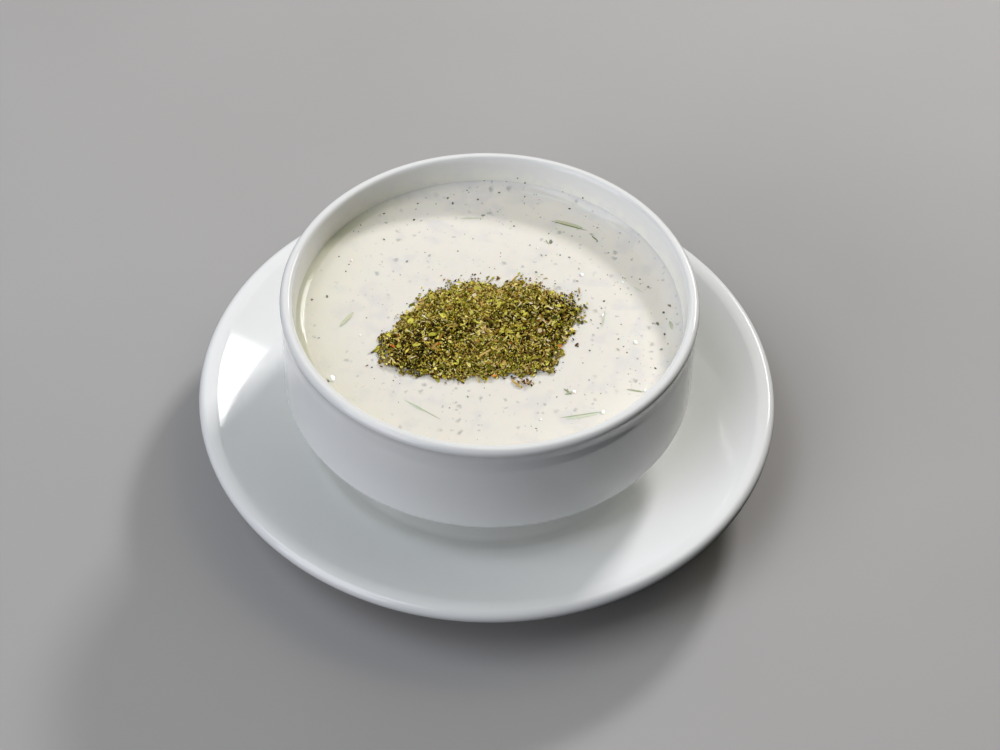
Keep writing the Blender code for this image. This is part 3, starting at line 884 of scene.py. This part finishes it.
for places, x, y, length, shade in ODD_BITS:
    x, y = x / 1000, y / 1000
    base = HEAP_BASE + float(heap_height(x, y)) + 0.0006
    places.append((rng.integers(len(scraps)), np.array([x, y, base]),
                   np.array([length, 0.62 * length, 0.5]) / 1000,
                   (rng.uniform(0, pi), 0.1, 0.2), shade))
strew("red_mint_bits", scraps, red_places, blush)
strew("pale_mint_bits", scraps, pale_places, pale)


# ---------------------------------------------------------------------------------------------
# Table, lights and camera. A plain pale table top, a soft box high behind on the right, a wide
# cool fill in front on the left, and a camera that looks down on the dish.
# ---------------------------------------------------------------------------------------------

pick_nothing()
bpy.ops.mesh.primitive_plane_add(size=6.0, location=(0, 0, 0))
table = bpy.context.object
table.name = "table_top"
material, tree, shader = new_material("pale_table")
place = add_node(tree, "ShaderNodeTexCoord").outputs["Object"]
mist = add_node(tree, "ShaderNodeTexNoise", {"Vector": place, "Scale": 6.0, "Detail": 3.0})
tree.links.new(add_ramp(tree, mist.outputs["Fac"], [(0.3, (0.40, 0.395, 0.39)), (0.7, (0.43, 0.425, 0.42))]),
               shader.inputs["Base Color"])
shader.inputs["Roughness"].default_value = 0.7
table.data.materials.append(material)
table.visible_diffuse = False      # the pale table throws no light up at the dish
table.visible_glossy = False


def direction(azimuth, elevation):
    """Unit vector to a place above the horizon. Azimuth 0 is straight back and 90 to the right."""
    a, e = radians(azimuth), radians(elevation)
    return Vector((sin(a) * cos(e), cos(a) * cos(e), sin(e)))


def soft_box(name, azimuth, elevation, distance, size, power, colour, roll=0.0):
    """A rectangular soft box that faces the dish. Roll turns it about its own axis, in degrees."""
    pick_nothing()
    way = direction(azimuth, elevation)
    bpy.ops.object.light_add(type="AREA", location=way * distance)
    lamp = bpy.context.object
    lamp.name = name
    facing = way.to_track_quat("Z", "Y").to_matrix() @ Matrix.Rotation(radians(roll), 3, "Z")
    lamp.rotation_euler = facing.to_euler()
    lamp.data.shape = "RECTANGLE"
    lamp.data.size, lamp.data.size_y = size
    lamp.data.energy = power
    lamp.data.color = colour
    return lamp


key = soft_box("key_light", 26.5, 29.3, 1.2, (0.19, 0.13), 10.2, (1.0, 0.965, 0.98))
key.visible_glossy = False
face = soft_box("key_soft_box_face", 32.3, 35.9, 0.98, (0.185, 0.30), 1.9, (1.0, 1.0, 1.0), roll=36.3)
face.visible_diffuse = False
soft_box("left_fill", -130, 25, 1.5, (1.0, 0.8), 8.1, (0.98, 0.98, 1.04))
soft_box("high_left_panel", -110, 60, 1.5, (1.0, 0.8), 8.2, (0.96, 1.0, 1.08))
soft_box("right_panel", 60, 55, 1.5, (1.0, 0.8), 2.6, (1.0, 0.95, 0.72))
soft_box("back_panel", 0, 55, 1.5, (1.2, 0.8), 2.6, (1.0, 0.97, 0.86))
world = bpy.data.worlds.new("studio_air")
world.use_nodes = True
world.node_tree.nodes["Background"].inputs["Color"].default_value = (0.86, 0.90, 1.0, 1.0)
world.node_tree.nodes["Background"].inputs["Strength"].default_value = 0.01
bpy.context.scene.world = world
bpy.context.scene.view_settings.view_transform = "Standard"

AIM = Vector((0.00339, 0.0, 0.02105))
CAMERA_DISTANCE = 0.5144
CAMERA_ELEVATION = radians(48.2)
CAMERA_ROLL = radians(2.10)
lens = bpy.data.cameras.new("camera")
lens.sensor_width = 36.0
lens.lens = 66.6
camera = bpy.data.objects.new("camera", lens)
bpy.context.scene.collection.objects.link(camera)
ahead = Vector((0, cos(CAMERA_ELEVATION), -sin(CAMERA_ELEVATION)))
up = Vector((0, sin(CAMERA_ELEVATION), cos(CAMERA_ELEVATION)))
side = Vector((1, 0, 0))
camera_x = side * cos(CAMERA_ROLL) + up * sin(CAMERA_ROLL)
camera_y = up * cos(CAMERA_ROLL) - side * sin(CAMERA_ROLL)
turn = Matrix((camera_x, camera_y, -ahead)).transposed().to_4x4()
camera.matrix_world = Matrix.Translation(AIM - ahead * CAMERA_DISTANCE) @ turn
bpy.context.scene.camera = camera
